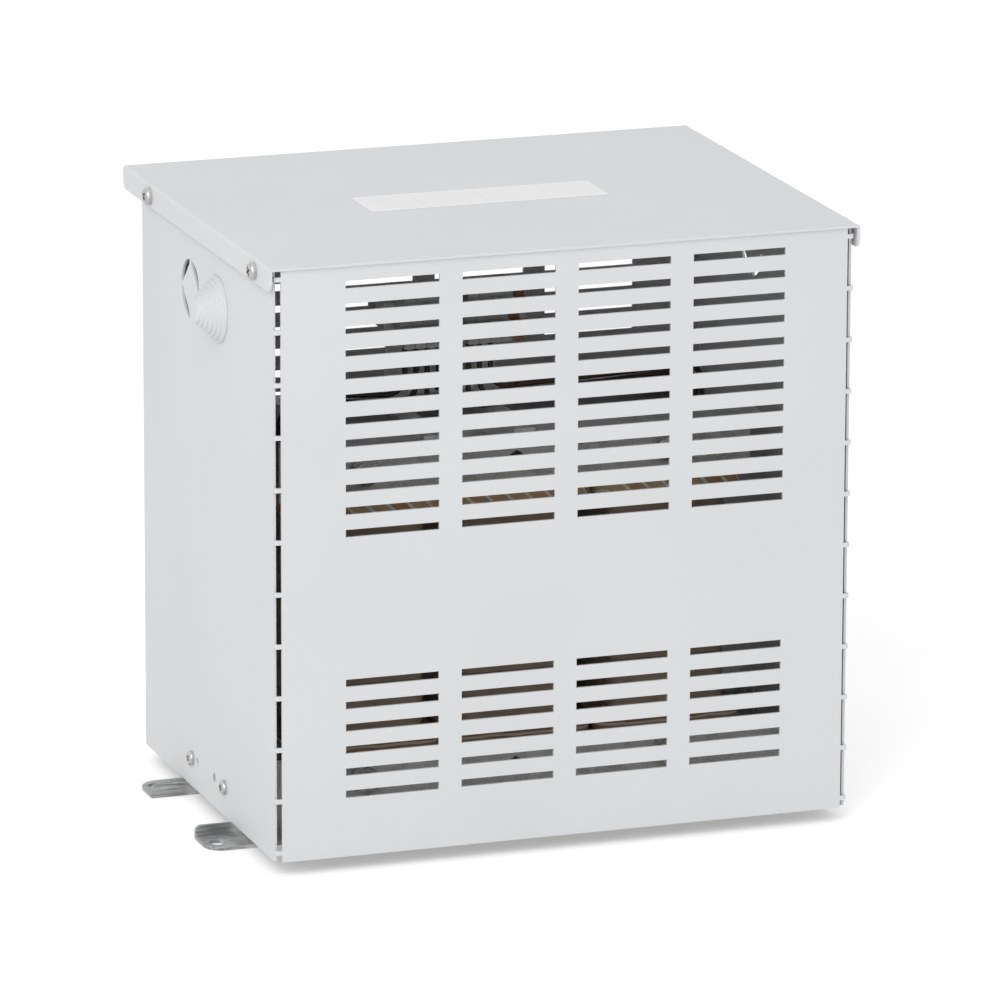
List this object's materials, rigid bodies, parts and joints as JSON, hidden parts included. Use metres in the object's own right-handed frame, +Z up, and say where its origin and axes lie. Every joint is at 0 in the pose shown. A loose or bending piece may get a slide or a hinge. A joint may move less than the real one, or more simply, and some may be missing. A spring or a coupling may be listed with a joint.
{
  "type": "isolation transformer",
  "caption": "Ventilated floor-standing isolation transformer: slotted sheet case, top cover, cable grommet, L-shaped feet, and a wound core with terminals inside.",
  "frame": {"origin": "centre of the whole object's footprint, at the underside of the feet", "axes": "+X along the front panel to the right, +Y from the front panel to the rear, +Z up"},
  "size_m": [0.358, 0.2586, 0.3253],
  "materials": {
    "paint": "light grey powder coat, satin, fine texture",
    "label": "bare white polyester plate, matt",
    "grommet": "light grey moulded rubber, matt",
    "zinc": "bright zinc plate",
    "galvanised": "hot-dip galvanised with soft spangle",
    "laminations": "varnished electrical steel sheets, fine parallel edges",
    "board": "tan pressboard, matt",
    "winding": "varnished brown winding paper over copper",
    "tape": "varnished cotton tape wound round the copper end turns",
    "terminal": "light grey polyamide",
    "terminal_brown": "orange-brown polyamide",
    "lead_black": "black insulation",
    "lead_brown": "dark brown insulation"
  },
  "bodies": {
    "root": {"case_wrap": "paint", "rear_panel": "paint", "top_cover": "paint", "rating_label": "label", "cable_grommet": "grommet", "cover_screws": "zinc", "cover_rivet_nuts": "zinc", "side_screws": "zinc", "side_press_nuts": "zinc", "front_foot": "galvanised", "rear_foot": "galvanised", "front_clamp": "galvanised", "rear_clamp": "galvanised", "core_stack": "laminations", "packing_strips": "board", "coil_formers": "board", "left_winding": "winding", "centre_winding": "winding", "right_winding": "winding", "lower_collars": "tape", "upper_collars": "tape", "core_bolts": "zinc", "core_nuts": "zinc", "core_washers": "zinc", "secondary_terminals": "terminal", "primary_terminals": "terminal", "end_terminal": "terminal_brown", "terminal_screws": "zinc", "end_stops": "terminal", "terminal_rail": "galvanised", "rail_supports": "galvanised", "support_screws": "zinc", "support_nuts": "zinc", "rail_screws": "zinc", "rail_nuts": "zinc", "secondary_leads": "lead_black", "primary_leads": "lead_brown"}
  },
  "joints": []
}
